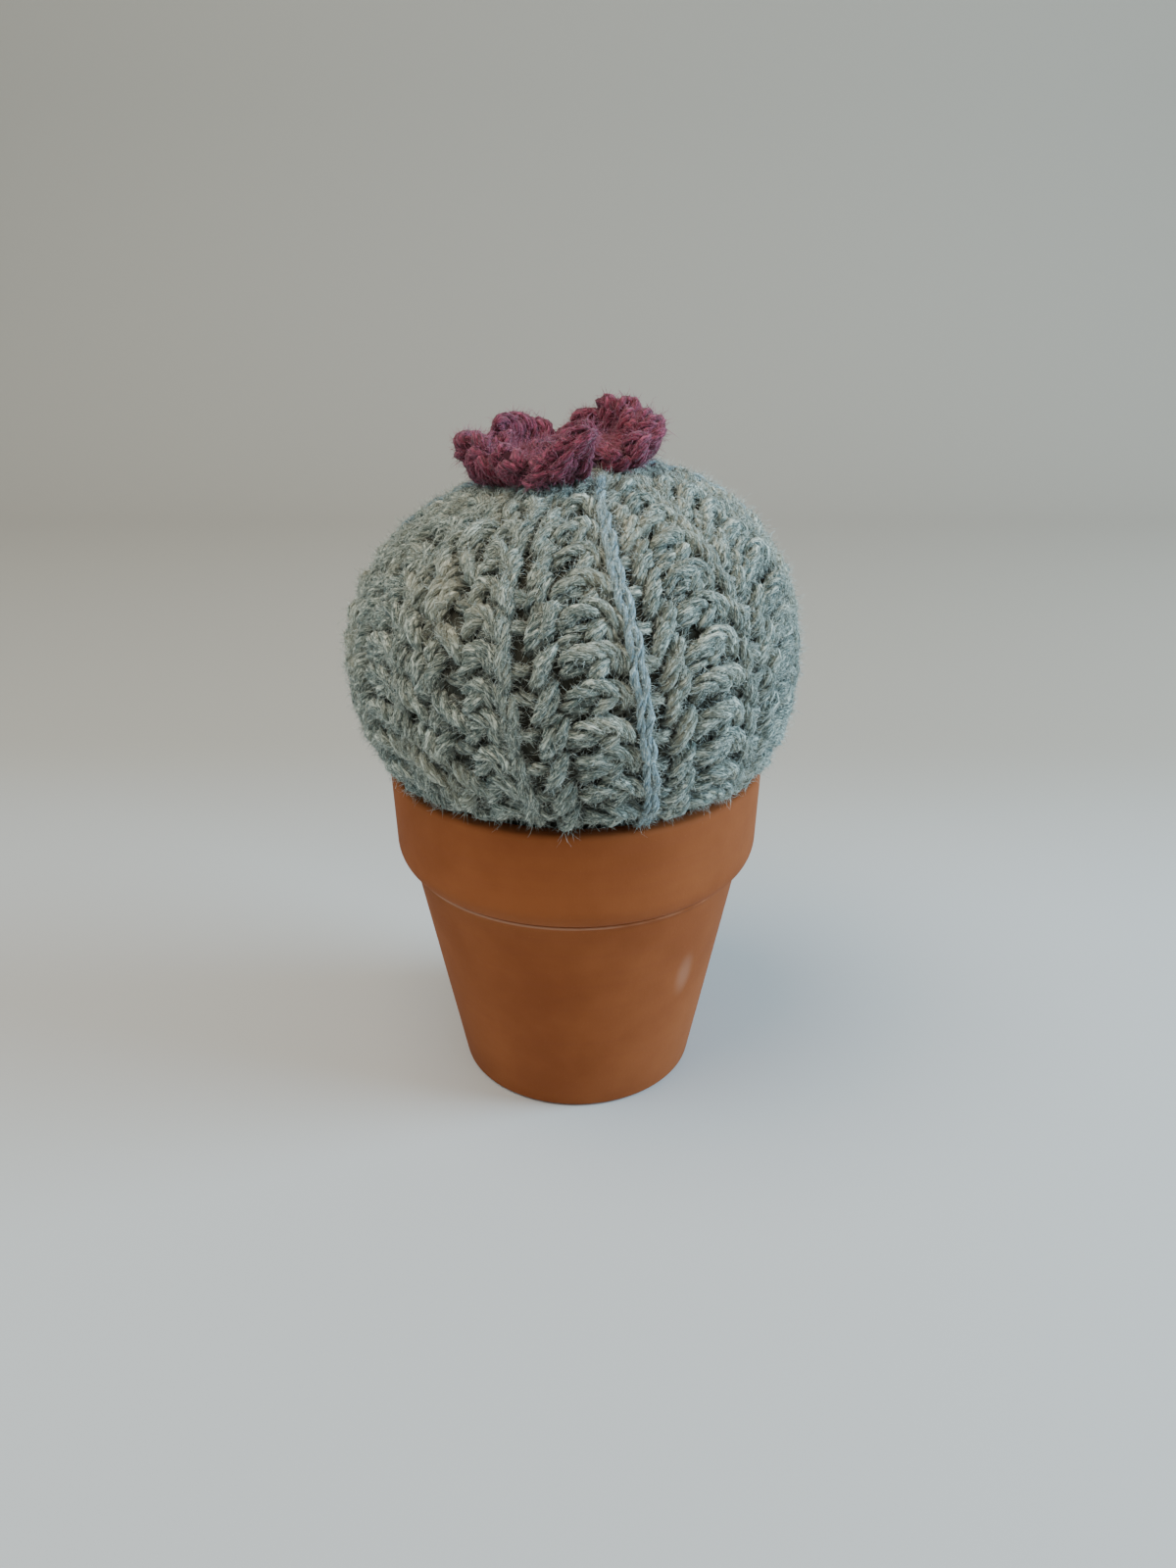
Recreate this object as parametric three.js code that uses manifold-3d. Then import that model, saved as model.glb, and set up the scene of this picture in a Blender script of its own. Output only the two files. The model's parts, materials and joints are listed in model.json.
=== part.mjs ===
// Crocheted cactus in a terracotta pot: a stuffed, ribbed yarn ball that rests on the rim
// of a small flower pot, with a crocheted flower on its crown.
// Millimetres, +Z up. The origin is the centre of the pot's base, and the front faces -Y.

import * as THREE from "three";
import { mergeVertices } from "three/addons/utils/BufferGeometryUtils.js";
import Module from "manifold-3d";

// Pot

const POT_HEIGHT = 75;
const RIM_RADIUS = 40.5;
const RIM_FOOT_RADIUS = 40.0;
const BAND_HEIGHT = 16.5;
const UNDERCUT_HEIGHT = 5;
const CREASE_RADIUS = 36.9;
const CREASE_BEAD = 0.5;
const BASE_RADIUS = 27;
const MOUTH_RADIUS = 35.8;
const FLOOR_RADIUS = 23.5;
const FLOOR_THICKNESS = 6;
const DRAIN_RADIUS = 7;
const POT_EDGE = 1;
const POT_SIDES = 64;

// Clearance between pieces that touch on the real thing

const SEAT_GAP = 0.35;

// Crocheted ball

const BALL_SHIFT_X = -0.5;
const BALL_CENTRE_Z = 99.5;
const BALL_RADIUS = 47;
const CROWN_HEIGHT = 38;
const UPPER_FULLNESS = 2.18;
const LOWER_FULLNESS = 2.4;
const SEAT_RADIUS = 38.8;
const NECK_RADIUS = 35.2;
const NECK_DROP = 1.6;
const FOOT_Z = 58;
const LEAN = 0.1;
const RIB_DRIFT_ABOVE = 0.11;
const RIB_DRIFT_BELOW = 0.14;
const DRIFT_ENDS = 16;
const GATHER_SHIFT = 5.5;
const GATHER_REACH = 45;
const COVER_THICKNESS = 4.4;
const GATHER_RADIUS = 2.5;
const HOLLOW_SIDES = 22;
const HOLLOW_STEPS = 6;

// Crochet stitches: rows run from crown to foot, and two rows make one rib

const RIBS = 12;
const FIRST_RIDGE = THREE.MathUtils.degToRad(-13.5);
const STITCH_PITCH = 6.7;
const GATHERED_CROWN = 12.4;
const ROW_PHASES = [0, 0.09, 0.2, 0.31, 0.43, 0.56, 0.7, 0.84, 0.93];
const STEPS_PER_STITCH = 2;
const YARN_DEPTH = 2.3;

// Crocheted flower

const FLOWER_SHIFT_X = -2.2;
const PETAL_THICKNESS = 3.4;
const PETAL_ROOT = 3.5;
const PETAL_ROOT_HALF_WIDTH = 1.8;
const PETAL_RIM = 3;
const PETAL_ROWS = [0, 0.3, 0.48, 0.6, 0.72, 0.84, 0.93, 1];
const POSTS_PER_PETAL = 5;
const CENTRE_RING_RADIUS = 6;
const CENTRE_RING_YARN = 2.2;
const CROWN_SIDES = 36;
const CROWN_STEPS = 16;
// Petals go round from the front, towards +X: their direction and how far they fan out to
// each side of it, in degrees, how far out their wall stands, how high it is, how much higher
// at both sides (lift) and at the side further round (tilt), in mm, how steep the wall and
// its rim are, in degrees, and how much of the length is left at the sides of the round edge.
// A rim that is less steep than its wall curls outwards.
const PETALS = [
  { turn: -15, fan: 33, reach: 13, height: -0.5, lift: 12, tilt: 3, steep: 62, rim: 42, side: 0.68 },
  { turn: 84, fan: 31, reach: 13.5, height: 3.2, lift: 0.5, tilt: 2, steep: 85, rim: 50, side: 0.5 },
  { turn: 145, fan: 46, reach: 14, height: 5.2, lift: -2, tilt: -1, steep: 88, rim: 80, side: 0.5 },
  { turn: 219, fan: 38, reach: 13, height: 4.5, lift: -2, tilt: 1.5, steep: 88, rim: 55, side: 0.5 },
  { turn: 276, fan: 34, reach: 15, height: 4.4, lift: -0.5, tilt: 0, steep: 94, rim: 10, side: 0.5 },
];

const wasm = await Module();
wasm.setup();

// Meshes and solids

function solidFrom(geometry) {
  const bare = geometry.clone();
  bare.deleteAttribute("normal");
  bare.deleteAttribute("uv");
  const merged = mergeVertices(bare, 1e-4);
  const vertProperties = new Float32Array(merged.attributes.position.array);
  const triVerts = new Uint32Array(merged.index.array);
  return new wasm.Manifold(new wasm.Mesh({ numProp: 3, vertProperties, triVerts }));
}

function geometryFrom(solid) {
  const mesh = solid.getMesh();
  const geometry = new THREE.BufferGeometry();
  geometry.setAttribute("position", new THREE.Float32BufferAttribute(mesh.vertProperties, 3));
  geometry.setIndex(new THREE.Uint32BufferAttribute(mesh.triVerts, 1));
  geometry.computeVertexNormals();
  return geometry;
}

function indexedGeometry(points, triangles) {
  const geometry = new THREE.BufferGeometry();
  geometry.setFromPoints(points);
  geometry.setIndex(triangles.flat());
  return geometry;
}

// Revolves (radius, height) points about the Z axis. The list runs up the outside.
function lathe(profile, sides) {
  const geometry = new THREE.LatheGeometry(profile, sides);
  geometry.rotateX(Math.PI / 2);
  return geometry;
}

function quarterRound(radius, height, size, fromAngle, steps) {
  const points = [];
  for (let i = 0; i <= steps; i += 1) {
    const angle = fromAngle + ((Math.PI / 2) * i) / steps;
    points.push(new THREE.Vector2(radius + size * Math.cos(angle), height + size * Math.sin(angle)));
  }
  return points;
}

function finish(colour, roughness) {
  return new THREE.MeshStandardMaterial({ color: colour, roughness, metalness: 0 });
}

function namedMesh(name, geometry, material) {
  const mesh = new THREE.Mesh(geometry, material);
  mesh.name = name;
  return mesh;
}

// Terracotta pot: a tapered wall, a collar with a straight band, and a drain hole

function potProfile() {
  const bandFoot = POT_HEIGHT - BAND_HEIGHT;
  const crease = bandFoot - UNDERCUT_HEIGHT;
  const points = [new THREE.Vector2(DRAIN_RADIUS, 0)];
  points.push(...quarterRound(BASE_RADIUS - POT_EDGE, POT_EDGE, POT_EDGE, -Math.PI / 2, 3));
  points.push(new THREE.Vector2(CREASE_RADIUS - CREASE_BEAD * 0.4, crease - 2 * CREASE_BEAD));
  points.push(new THREE.Vector2(CREASE_RADIUS + CREASE_BEAD, crease - CREASE_BEAD));
  points.push(new THREE.Vector2(CREASE_RADIUS, crease));
  const undercutSteps = 5;
  for (let i = 1; i <= undercutSteps; i += 1) {
    const angle = ((Math.PI / 2) * i) / undercutSteps;
    const out = (RIM_FOOT_RADIUS - CREASE_RADIUS) * Math.sin(angle);
    const up = UNDERCUT_HEIGHT * (1 - Math.cos(angle));
    points.push(new THREE.Vector2(CREASE_RADIUS + out, crease + up));
  }
  const lip = POT_HEIGHT - POT_EDGE;
  points.push(...quarterRound(RIM_RADIUS - POT_EDGE, lip, POT_EDGE, 0, 3));
  points.push(...quarterRound(MOUTH_RADIUS + POT_EDGE, lip, POT_EDGE, Math.PI / 2, 3));
  points.push(new THREE.Vector2(FLOOR_RADIUS, FLOOR_THICKNESS));
  points.push(new THREE.Vector2(DRAIN_RADIUS, FLOOR_THICKNESS));
  points.push(new THREE.Vector2(DRAIN_RADIUS, 0));
  return points;
}

function makePot() {
  return namedMesh("pot", lathe(potProfile(), POT_SIDES), finish(0xb5633d, 0.85));
}

// Ball outline from crown to foot, shrunk all over by an inset. The lower half curves in
// to the seat on the pot's rim, and a narrower foot is squeezed into the pot's mouth.

function fullQuarter(radius, height, fullness, fraction) {
  const angle = (Math.PI / 2) * fraction;
  return {
    out: radius * Math.sin(angle) ** (2 / fullness),
    up: height * Math.cos(angle) ** (2 / fullness),
  };
}

function ballOutline(inset, steps) {
  const equator = BALL_RADIUS - inset;
  const seatZ = POT_HEIGHT + SEAT_GAP + 0.1;
  const seat = SEAT_RADIUS - inset;
  const neck = NECK_RADIUS - inset;
  const neckZ = seatZ - NECK_DROP;
  const points = [];
  for (let i = 0; i < steps; i += 1) {
    const { out, up } = fullQuarter(equator, CROWN_HEIGHT - inset, UPPER_FULLNESS, i / steps);
    points.push(new THREE.Vector2(out, BALL_CENTRE_Z + up));
  }
  const drop = BALL_CENTRE_Z - seatZ;
  const share = (seat / equator) ** LOWER_FULLNESS;
  const depth = drop / (1 - share) ** (1 / LOWER_FULLNESS);
  for (let i = 0; i <= steps; i += 1) {
    const down = (drop * i) / steps;
    const out = equator * (1 - (down / depth) ** LOWER_FULLNESS) ** (1 / LOWER_FULLNESS);
    points.push(new THREE.Vector2(out, BALL_CENTRE_Z - down));
  }
  const seatCount = points.length;
  points.push(new THREE.Vector2(MOUTH_RADIUS + POT_EDGE + 0.1 - inset, seatZ));
  points.push(new THREE.Vector2(neck + 0.55, seatZ - 0.4));
  const footSteps = 4;
  for (let i = 0; i <= footSteps; i += 1) {
    const { out, up } = fullQuarter(neck, neckZ - FOOT_Z - inset, LOWER_FULLNESS, 1 - i / footSteps);
    points.push(new THREE.Vector2(out, neckZ - up));
  }
  return { points, seatCount };
}

// The ball leans: its right shoulder stands higher than its left one.
function leanHeight(x, z) {
  const rise = Math.max(0, z - BALL_CENTRE_Z);
  return z + (LEAN * rise * x) / BALL_RADIUS;
}

// The ribs lean with it, so on the front they drift to the right on their way down.
function leanTurn(angle, radius, z) {
  const height = Math.max(-DRIFT_ENDS, z - BALL_CENTRE_Z);
  const drift = height > 0 ? RIB_DRIFT_ABOVE : RIB_DRIFT_BELOW;
  return angle - ((drift * height) / Math.max(radius, 20)) * Math.cos(angle);
}

function crownRise(distance) {
  const share = Math.min(1, distance / BALL_RADIUS) ** UPPER_FULLNESS;
  return CROWN_HEIGHT * (1 - share) ** (1 / UPPER_FULLNESS);
}

// It also sits a little to the left of the pot's axis above its seat.
function ringPoint(angle, radius, z) {
  const x = radius * Math.sin(angle);
  const shift = BALL_SHIFT_X * THREE.MathUtils.smoothstep(z, POT_HEIGHT, BALL_CENTRE_Z);
  return new THREE.Vector3(x + shift, -radius * Math.cos(angle), leanHeight(x, z));
}

// The ribs gather to the right of the crown, so the rings there are shifted.
function gatheredPoint(angle, radius, z, length) {
  const share = 1 - THREE.MathUtils.smoothstep(length, 0, GATHER_REACH);
  const x = radius * Math.sin(angle) + share * GATHER_SHIFT;
  const y = -radius * Math.cos(angle);
  const distance = Math.hypot(x, y);
  const moved = z + crownRise(distance) - crownRise(radius);
  return ringPoint(Math.atan2(x, -y), distance, share > 0 ? moved : z);
}

// Closes a stack of rings, each with as many points, between an upper and a lower point.
function closedRings(crown, rings, foot) {
  const count = rings[0].length;
  const points = [crown, ...rings.flat(), foot];
  const last = points.length - 1;
  const triangles = [];
  for (let j = 0; j < count; j += 1) {
    const next = (j + 1) % count;
    triangles.push([0, 1 + j, 1 + next]);
    for (let i = 0; i + 1 < rings.length; i += 1) {
      const a = 1 + i * count + j;
      const b = 1 + i * count + next;
      triangles.push([a, a + count, b + count], [a, b + count, b]);
    }
    const start = 1 + (rings.length - 1) * count;
    triangles.push([start + j, last, start + next]);
  }
  return indexedGeometry(points, triangles);
}

// Crochet relief

function nearPhase(phase, centre, width) {
  const apart = THREE.MathUtils.euclideanModulo(phase - centre + 0.5, 1) - 0.5;
  return Math.exp(-((apart / width) ** 2));
}

function strand(turns) {
  return 0.5 + 0.5 * Math.cos(2 * Math.PI * turns);
}

// Height of the yarn across one rib (phase 0 to 1) and along it (one unit a stitch): a raised
// chain, a file of slanted strands, and a file of arched strands, with holes beside each.
function relief(phase, stitch) {
  const chain = 2.4 * nearPhase(phase, 0, 0.055) * (0.85 + 0.15 * strand(2 * stitch));
  const slanted = 2.1 * nearPhase(phase, 0.27, 0.11) * strand(stitch + 3.4 * (phase - 0.2));
  const arched = 2.3 * nearPhase(phase, 0.68, 0.2) * strand(stitch + 0.3 * phase);
  const holes = nearPhase(phase, 0.1, 0.03) + nearPhase(phase, 0.44, 0.03);
  return chain + slanted + arched - 0.8 * holes * strand(stitch + 0.5) - YARN_DEPTH;
}

// Ball cover: rings of points follow the outline, and each is raised by the relief

function outlineSampler(points) {
  const lengths = [0];
  for (let i = 1; i < points.length; i += 1) {
    lengths.push(lengths[i - 1] + points[i].distanceTo(points[i - 1]));
  }
  const at = (length) => {
    let i = 1;
    while (i < points.length - 1 && lengths[i] < length) {
      i += 1;
    }
    const part = (length - lengths[i - 1]) / (lengths[i] - lengths[i - 1]);
    const point = points[i - 1].clone().lerp(points[i], part);
    const along = points[i].clone().sub(points[i - 1]).normalize();
    return { point, outward: new THREE.Vector2(-along.y, along.x) };
  };
  return { at, lengths };
}

function coverRing(spot, length, seatLength) {
  const ring = [];
  const stitch = (length - GATHERED_CROWN) / STITCH_PITCH;
  const fromCrown = THREE.MathUtils.smoothstep(length, 4, GATHERED_CROWN + STITCH_PITCH);
  const fromSeat = 1 - THREE.MathUtils.smoothstep(length, seatLength - 2, seatLength);
  for (let rib = 0; rib < RIBS; rib += 1) {
    for (const phase of ROW_PHASES) {
      const height = relief(phase, stitch) * fromCrown * fromSeat;
      const radius = spot.point.x + height * spot.outward.x;
      const z = spot.point.y + height * spot.outward.y;
      const angle = FIRST_RIDGE + (2 * Math.PI * (rib + phase)) / RIBS;
      ring.push(gatheredPoint(leanTurn(angle, radius, z), radius, z, length));
    }
  }
  return ring;
}

function coverSkin() {
  const { points, seatCount } = ballOutline(0, 40);
  const { at, lengths } = outlineSampler(points);
  const seatLength = lengths[seatCount - 1];
  const rings = [];
  for (const length of [3.5, 7.5]) {
    rings.push(coverRing(at(length), length, seatLength));
  }
  const step = STITCH_PITCH / STEPS_PER_STITCH;
  for (let length = GATHERED_CROWN; length < seatLength - step / 2; length += step) {
    rings.push(coverRing(at(length), length, seatLength));
  }
  for (let i = seatCount - 1; i < points.length - 1; i += 1) {
    rings.push(coverRing(at(lengths[i]), seatLength, seatLength));
  }
  const crown = gatheredPoint(0, 0, points[0].y - 0.5, 0);
  const foot = ringPoint(0, 0, points[points.length - 1].y);
  return closedRings(crown, rings, foot);
}

// Smooth closed ball, for the cover's hollow, the stuffing and the flower's underside
function smoothBall(inset, sides, steps) {
  const { points } = ballOutline(inset, steps);
  const rings = points.slice(1, -1).map((point) => {
    const ring = [];
    for (let j = 0; j < sides; j += 1) {
      ring.push(ringPoint((2 * Math.PI * j) / sides, point.x, point.y));
    }
    return ring;
  });
  const crown = ringPoint(0, 0, points[0].y);
  const foot = ringPoint(0, 0, points[points.length - 1].y);
  return closedRings(crown, rings, foot);
}

// The cover is hollow, and its gathered foot leaves a small opening.
function makeCover() {
  const gather = new THREE.CylinderGeometry(GATHER_RADIUS, GATHER_RADIUS, 4 * COVER_THICKNESS, 16);
  gather.rotateX(Math.PI / 2);
  gather.translate(0, 0, FOOT_Z);
  const hollow = solidFrom(smoothBall(COVER_THICKNESS, HOLLOW_SIDES, HOLLOW_STEPS));
  const shell = solidFrom(coverSkin()).subtract(hollow.add(solidFrom(gather)));
  return namedMesh("crochet_cover", geometryFrom(shell), finish(0x8fa3a1, 0.95));
}

function makeStuffing() {
  const core = smoothBall(COVER_THICKNESS + SEAT_GAP, HOLLOW_SIDES, HOLLOW_STEPS);
  return namedMesh("stuffing", core, finish(0xefeee8, 1.0));
}

// Flower: petals worked round a centre ring, their undersides shaped to the ball's crown

function crownHeight(x, y) {
  return leanHeight(x, BALL_CENTRE_Z + crownRise(Math.hypot(x, y)));
}

// A point of a petal's middle surface: across from -1 to 1, along from 0 at the root to 1.
// Posts fan out from the root on the crown, bend up into a wall, and bend out at the rim.
function petalPoint(petal, across, along) {
  const { smoothstep, degToRad } = THREE.MathUtils;
  const fan = degToRad(petal.fan * across);
  const reach = petal.reach * Math.cos(fan);
  const top = reach + petal.height + petal.lift * across * across + petal.tilt * across;
  const round = petal.side + (1 - petal.side) * Math.sqrt(Math.max(0, 1 - across * across));
  const length = (top + PETAL_RIM) * round * along;
  const steps = 12;
  let out = 0;
  let up = 0;
  for (let i = 0; i < steps; i += 1) {
    const at = ((i + 0.5) / steps) * length;
    const rising = petal.steep * smoothstep(at, reach - 5, reach + 2);
    const climb = degToRad(rising - (petal.steep - petal.rim) * smoothstep(at, top - 3, top + 2));
    out += (length / steps) * Math.cos(climb);
    up += (length / steps) * Math.sin(climb);
  }
  const turn = degToRad(petal.turn);
  const side = PETAL_ROOT_HALF_WIDTH * across;
  const rootX = FLOWER_SHIFT_X + PETAL_ROOT * Math.sin(turn) + side * Math.cos(turn);
  const rootY = -PETAL_ROOT * Math.cos(turn) + side * Math.sin(turn);
  const x = rootX + out * Math.sin(turn + fan);
  const y = rootY - out * Math.cos(turn + fan);
  const base = crownHeight(x - BALL_SHIFT_X, y) + SEAT_GAP + PETAL_THICKNESS / 2;
  return new THREE.Vector3(x, y, base + up);
}

// Half the yarn's thickness there: posts run out from the centre, and a chain edges the rim.
function petalHalfThickness(across, along) {
  const edge = Math.max(Math.abs(across), along);
  const posts = 0.12 * Math.cos(Math.PI * POSTS_PER_PETAL * across) * Math.sin(Math.PI * along);
  let shape = 0.95 + posts;
  if (edge > 0.97) {
    shape = 0.55;
  } else if (edge > 0.84) {
    shape = 1.15 + posts;
  }
  return (PETAL_THICKNESS / 2) * shape;
}

function makePetal(petal) {
  const columns = 3 * POSTS_PER_PETAL;
  const rows = PETAL_ROWS.length - 1;
  const upper = [];
  const lower = [];
  for (const along of PETAL_ROWS) {
    for (let j = 0; j <= columns; j += 1) {
      const across = (2 * j) / columns - 1;
      const middle = petalPoint(petal, across, along);
      const alongStep = petalPoint(petal, across, along + 0.02).sub(middle);
      const acrossStep = petalPoint(petal, across + 0.02, along).sub(middle);
      const normal = acrossStep.cross(alongStep).normalize();
      const half = petalHalfThickness(across, along);
      upper.push(middle.clone().addScaledVector(normal, half));
      lower.push(middle.clone().addScaledVector(normal, -half));
    }
  }
  const width = columns + 1;
  const under = upper.length;
  const triangles = [];
  for (let i = 0; i < rows; i += 1) {
    for (let j = 0; j < columns; j += 1) {
      const a = i * width + j;
      triangles.push([a, a + 1, a + width + 1], [a, a + width + 1, a + width]);
      const b = a + under;
      triangles.push([b, b + width + 1, b + 1], [b, b + width, b + width + 1]);
    }
  }
  const edge = [];
  for (let j = 0; j < columns; j += 1) {
    edge.push(j);
  }
  for (let i = 0; i < rows; i += 1) {
    edge.push(i * width + columns);
  }
  for (let j = columns; j > 0; j -= 1) {
    edge.push(rows * width + j);
  }
  for (let i = rows; i > 0; i -= 1) {
    edge.push(i * width);
  }
  edge.forEach((a, i) => {
    const b = edge[(i + 1) % edge.length];
    triangles.push([a, a + under, b + under], [a, b + under, b]);
  });
  return indexedGeometry([...upper, ...lower], triangles);
}

function makeFlower() {
  const ring = new THREE.TorusGeometry(CENTRE_RING_RADIUS, CENTRE_RING_YARN, 8, 20);
  const ringZ = crownHeight(0, 0) + SEAT_GAP + CENTRE_RING_YARN;
  ring.translate(FLOWER_SHIFT_X, 0, ringZ);
  let flower = solidFrom(ring);
  for (const petal of PETALS) {
    flower = flower.add(solidFrom(makePetal(petal)));
  }
  const crown = solidFrom(smoothBall(-SEAT_GAP, CROWN_SIDES, CROWN_STEPS));
  flower = flower.subtract(crown);
  return namedMesh("flower", geometryFrom(flower), finish(0x84445a, 0.95));
}

const cactus = new THREE.Group();
cactus.add(makePot());
cactus.add(makeCover());
cactus.add(makeStuffing());
cactus.add(makeFlower());

export default cactus;
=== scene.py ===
# %% [markdown]
# # A crocheted cactus in a terracotta pot
# The object is a stuffed ball of crochet that sits on the rim of a small clay pot, with a
# crocheted flower sewn to its crown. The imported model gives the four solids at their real
# size. This lesson dresses them: a smooth turned pot, a ball and a flower made of separate
# strands of plied yarn, and the loose fibres that make yarn look soft.

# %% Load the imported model
import json
import math

import bpy
import numpy as np
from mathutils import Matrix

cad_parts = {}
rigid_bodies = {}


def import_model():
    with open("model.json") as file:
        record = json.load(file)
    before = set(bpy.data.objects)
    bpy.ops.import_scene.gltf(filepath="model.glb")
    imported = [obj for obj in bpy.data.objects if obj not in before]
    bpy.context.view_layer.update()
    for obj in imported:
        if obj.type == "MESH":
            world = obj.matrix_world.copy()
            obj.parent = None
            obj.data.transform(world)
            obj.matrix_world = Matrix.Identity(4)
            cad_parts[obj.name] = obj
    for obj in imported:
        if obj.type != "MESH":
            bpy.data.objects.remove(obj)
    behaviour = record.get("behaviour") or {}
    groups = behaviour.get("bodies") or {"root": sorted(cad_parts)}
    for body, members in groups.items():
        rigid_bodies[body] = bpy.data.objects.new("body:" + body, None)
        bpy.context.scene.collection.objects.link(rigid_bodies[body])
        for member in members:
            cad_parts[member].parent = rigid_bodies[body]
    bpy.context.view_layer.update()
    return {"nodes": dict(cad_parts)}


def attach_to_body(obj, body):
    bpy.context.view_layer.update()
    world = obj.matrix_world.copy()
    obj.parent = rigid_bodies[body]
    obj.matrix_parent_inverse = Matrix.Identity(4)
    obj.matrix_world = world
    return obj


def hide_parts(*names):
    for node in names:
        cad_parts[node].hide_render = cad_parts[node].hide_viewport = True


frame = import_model()
MM = 0.001
rng = np.random.default_rng(11)
print("solids:", sorted(frame["nodes"]))

# %% [markdown]
# ## Sizes
# These are the part's own driving sizes, in millimetres, so every strand lands on the solid
# that it stands for. The ball's outline is a rounded oblong: one curve from the crown to the
# widest ring, another from there to the seat on the pot's rim, then a squeezed foot.

# %% Sizes in millimetres
POT_HEIGHT = 75
RIM_RADIUS = 40.5
RIM_FOOT_RADIUS = 40.0
BAND_HEIGHT = 16.5
UNDERCUT_HEIGHT = 5
CREASE_HEIGHT = POT_HEIGHT - BAND_HEIGHT - UNDERCUT_HEIGHT
CREASE_RADIUS = 36.9
BEAD_RADIUS = 0.5
BEAD_HEIGHT = CREASE_HEIGHT - 0.7
LIP_RADIUS = 1.1
BASE_RADIUS = 27
MOUTH_RADIUS = 35.8
FLOOR_RADIUS = 23.5
FLOOR_THICKNESS = 6
DRAIN_RADIUS = 7
BALL_SHIFT_X = -0.5
BALL_CENTRE_Z = 99.5
BALL_RADIUS = 47
CROWN_HEIGHT = 38
UPPER_FULLNESS = 2.18
LOWER_FULLNESS = 2.4
SEAT_GAP = 0.35
SEAT_RADIUS = 38.8
NECK_RADIUS = 35.2
NECK_DROP = 1.6
NECK_EASE = 0.55
FOOT_Z = 58
LEAN = 0.1
RIB_DRIFT_ABOVE = 0.11
RIB_DRIFT_BELOW = 0.14
DRIFT_ENDS = 16
GATHER_SHIFT = 5.5
GATHER_REACH = 45
RIBS = 12
FIRST_RIDGE = math.radians(-13.5)
STITCH_PITCH = 6.7
GATHERED_CROWN = 12.4


# %% [markdown]
# ## The ball as a surface to lay yarn on
# A strand is drawn flat first, in stitches: how many ribs round the ball, how many stitches
# down from the crown, and how high it lies above or below the ball's skin. One function
# bends that flat drawing round the ball. It repeats the ball's lean: the right shoulder
# stands higher, and the ribs drift to the right on their way down the front.

# %% Outline of the ball
def full_quarter(radius, height, fullness, fraction):
    angle = fraction * math.pi / 2
    out = radius * np.sin(angle) ** (2 / fullness)
    up = height * np.cos(angle) ** (2 / fullness)
    return out, up


def ball_outline(inset=0.0, steps=160):
    seat_z = POT_HEIGHT + SEAT_GAP + 0.1
    out, up = full_quarter(BALL_RADIUS - inset, CROWN_HEIGHT - inset, UPPER_FULLNESS,
                           np.linspace(0, 1, steps)[:-1])
    drop = BALL_CENTRE_Z - seat_z
    share = ((SEAT_RADIUS - inset) / (BALL_RADIUS - inset)) ** LOWER_FULLNESS
    depth = drop / (1 - share) ** (1 / LOWER_FULLNESS)
    down = np.linspace(0, drop, steps)
    lower = (BALL_RADIUS - inset) * (1 - (down / depth) ** LOWER_FULLNESS) ** (1 / LOWER_FULLNESS)
    neck = NECK_RADIUS - inset
    neck_z = seat_z - NECK_DROP
    foot_out, foot_down = full_quarter(neck, neck_z - FOOT_Z - inset, LOWER_FULLNESS,
                                       np.linspace(1, 0, 24))
    radius = np.r_[out, lower, MOUTH_RADIUS + LIP_RADIUS - inset, neck + NECK_EASE, foot_out]
    height = np.r_[BALL_CENTRE_Z + up, BALL_CENTRE_Z - down, seat_z, seat_z - 0.4,
                   neck_z - foot_down]
    return radius, height, len(out) + len(lower) - 1


outline_r, outline_z, seat_index = ball_outline()
outline_length = np.r_[0, np.cumsum(np.hypot(np.diff(outline_r), np.diff(outline_z)))]
SEAT_LENGTH = outline_length[seat_index]
SEAT_STITCH = (SEAT_LENGTH - GATHERED_CROWN) / STITCH_PITCH
print(f"from crown to seat: {SEAT_LENGTH:.1f} mm, {SEAT_STITCH:.1f} stitches")


# %% Bend a flat drawing round the ball
def smooth(low, high, value):
    part = np.clip((value - low) / (high - low), 0, 1)
    return part * part * (3 - 2 * part)


def crown_rise(distance):
    share = np.minimum(1, distance / BALL_RADIUS) ** UPPER_FULLNESS
    return CROWN_HEIGHT * (1 - share) ** (1 / UPPER_FULLNESS)


def skin_ring(length, lift):
    """Radius and height of a ring at a length from the crown, raised off the skin."""
    near = 0.8
    radius, height = (np.interp(length, outline_length, v) for v in (outline_r, outline_z))
    slope_r, slope_z = (np.interp(length + near, outline_length, v)
                        - np.interp(length - near, outline_length, v)
                        for v in (outline_r, outline_z))
    slope = np.hypot(slope_r, slope_z) + 1e-9
    return np.maximum(0, radius - lift * slope_z / slope), height + lift * slope_r / slope


def on_ball(turns, stitches, lift):
    length = GATHERED_CROWN + np.asarray(stitches, float) * STITCH_PITCH
    radius, z = skin_ring(length, lift)
    height = np.maximum(-DRIFT_ENDS, z - BALL_CENTRE_Z)
    drift = np.where(height > 0, RIB_DRIFT_ABOVE, RIB_DRIFT_BELOW)
    angle = FIRST_RIDGE + 2 * math.pi * np.asarray(turns, float) / RIBS
    angle = angle - drift * height / np.maximum(radius, 20) * np.cos(angle)
    gathered = 1 - smooth(0, GATHER_REACH, length)
    x = radius * np.sin(angle) + gathered * GATHER_SHIFT
    y = -radius * np.cos(angle)
    z = z + np.where(gathered > 0, crown_rise(np.hypot(x, y)) - crown_rise(radius), 0)
    shift = BALL_SHIFT_X * smooth(POT_HEIGHT, BALL_CENTRE_Z, z)
    lean = LEAN * np.maximum(0, z - BALL_CENTRE_Z) * x / BALL_RADIUS
    return np.stack([x + shift, y, z + lean], axis=-1)


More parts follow.
